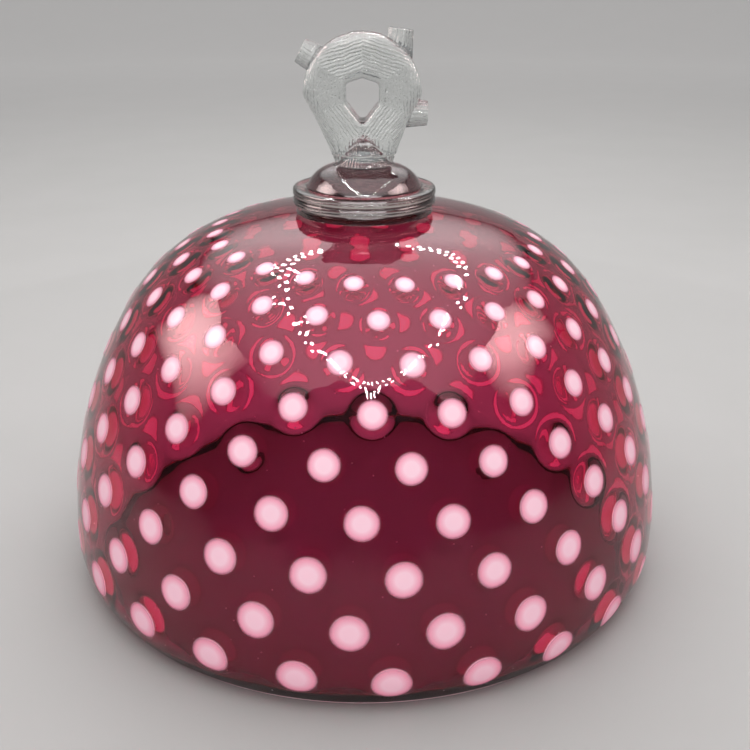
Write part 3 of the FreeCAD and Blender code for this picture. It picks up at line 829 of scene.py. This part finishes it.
def makeFloor():
    reach, rise, sweep = studio["floorReach"], studio["backdropHeight"], studio["sweep"]
    outline = arcPoints((reach - sweep, sweep), sweep, -90, 0, studio["sweepStep"])
    outline.append((reach, rise))
    around, faces = studio["around"], []
    points = [(0, 0, 0), *ringsOf(outline, around)]
    for k in range(around):
        n = (k + 1) % around
        faces.append((0, 1 + k, 1 + n))
        for row in range(len(outline) - 1):
            a, b = 1 + row * around, 1 + (row + 1) * around
            faces.append((a + k, b + k, b + n, a + n))
    mesh = setMesh("floor", points, faces)
    mesh.polygons.foreach_set("use_smooth", [True] * len(mesh.polygons))
    mesh.materials.append(paleFloor())
    linkObject("floor", mesh)


lights = {  # where it is and what it points at, its width and height, and its radiance
    "ceiling": ((0, 100, 670), (0, 100, 0), 1300, 1500, 3.1),
    "backWash": ((0, 950, 420), (0, 60, 60), 1700, 600, 9.0),
    "frontFill": ((0, -950, 560), (0, -60, 60), 1300, 600, 3.6),
    "frontKey": ((0, -800, 420), (0, 0, 125), 1200, 700, 7.5),
    "twigKey": ((-250, -760, 420), (0, 0, 145), 500, 420, 2.6),
    "ceilingSheen": ((0, 755, 670), (0, 755, 0), 1500, 2890, 2.3),
    "sideLeft": ((-706, 4, 527), (-38, -54, 91), 760, 560, 14.0),
    "sideRight": ((644, -77, 606), (32, -56, 92), 700, 520, 13.0),
}


def hideFromCamera(light, glossOnly=False):
    light.visible_camera = False
    light.visible_transmission = False
    light.visible_diffuse = not glossOnly


def softbox(name, inGloss=True, pieces=()):  # a light kept off all but the given pieces, if any are
    place, target, width, height, radiance = lights[name]
    lamp = bpy.data.lights.new(name, "AREA")
    lamp.shape, lamp.size, lamp.size_y = "RECTANGLE", width * mm, height * mm
    lamp.energy = radiance * math.pi * width * height * mm * mm
    box = linkObject(name, lamp)
    box.location = Vector(place) * mm
    box.rotation_euler = (Vector(target) - Vector(place)).to_track_quat("-Z", "Y").to_euler()
    hideFromCamera(box)
    box.visible_glossy = inGloss
    if pieces:
        box.light_linking.receiver_collection = bpy.data.collections.new(name + "Receivers")
        for piece in pieces:
            box.light_linking.receiver_collection.objects.link(piece)


def glowing(name, colour, strength, attribute=None):  # the attribute, if given, fades the glow
    material, tree, output = newMaterial(name)
    if attribute:
        share = addNode(tree, "ShaderNodeAttribute", attribute_name=attribute).outputs["Fac"]
        strength = addNode(tree, "ShaderNodeMath", {0: share, 1: strength}, operation="MULTIPLY").outputs[0]
    light = addNode(tree, "ShaderNodeEmission", {"Color": hexColour(colour), "Strength": strength})
    tree.links.new(light.outputs[0], output.inputs["Surface"])
    return material


def glowPanel(name, colour, crisp=False):
    # seen only in the gloss; it fades out towards its edges, apart from a crisp front edge if asked for
    place, target, width, height, radiance = lights[name]
    facing = (Vector(target) - Vector(place)).to_track_quat("-Z", "Y")
    count = studio["panelPoints"]
    shares = np.linspace(-1, 1, count)
    points, fade = [], []
    for v in shares:
        for u in shares:
            corner = facing @ Vector((u * width / 2, v * height / 2, 0)) + Vector(place)
            points.append(corner * mm)
            along = min(1.0, 1.15 * (1 - v)) if crisp else 1 - v * v
            fade.append((1 - u ** 4 if crisp else 1 - u * u) * along)
    faces = [(a, a + 1, a + 1 + count, a + count) for row in range(count - 1)
             for a in range(row * count, row * count + count - 1)]
    panel = linkObject(name, setMesh(name, points, faces, {"fade": fade}))
    panel.data.materials.append(glowing(name, colour, radiance, "fade"))
    hideFromCamera(panel, glossOnly=True)


def lampOval():  # an oval chain of tiny lamps under the ceiling, seen only in reflections
    centre, reach, size = (np.array(studio[key]) for key in ("ovalCentre", "ovalReach", "lampSize"))
    points, faces = [], []
    for row in range(studio["lampRows"]):
        for k in range(studio["lampsAround"]):
            angle = 2 * math.pi * (k + 0.5 * row) / studio["lampsAround"]
            spot = np.array([math.sin(angle), math.cos(angle)]) * reach * (1 - studio["rowGap"] * row)
            spot += centre[:2]
            first = len(points)
            for u, v in ((-1, -1), (1, -1), (1, 1), (-1, 1)):
                x, y = spot + np.array([u, v]) * size / 2
                points.append((x * mm, y * mm, centre[2] * mm))
            faces.append(tuple(range(first, first + 4)))
    lamps = linkObject("lampOval", setMesh("lampOval", points, faces))
    lamps.data.materials.append(glowing("whiteLamps", "#FFFFFF", studio["lampStrength"]))
    hideFromCamera(lamps, glossOnly=True)


makeFloor()
softbox("ceiling", inGloss=False)
glowPanel("ceilingSheen", "#FFFFFF", crisp=True)
softbox("backWash", inGloss=False, pieces=[opalDots, groundRim])
softbox("frontFill", inGloss=False, pieces=[opalDots, groundRim])
softbox("frontKey", pieces=[collarDisc, crownWad, handleFoot])
softbox("twigKey", pieces=[twigRing, *stubs])
glowPanel("sideLeft", "#FFE9E6")
glowPanel("sideRight", "#FFE9E6")
lampOval()

world = bpy.data.worlds.new("studio")
scene.world = world
world.use_nodes = True
world.node_tree.nodes["Background"].inputs["Color"].default_value = hexColour("#C4C6CA")
world.node_tree.nodes["Background"].inputs["Strength"].default_value = 0.4
scene.view_settings.view_transform = "Standard"
print("studio lit")
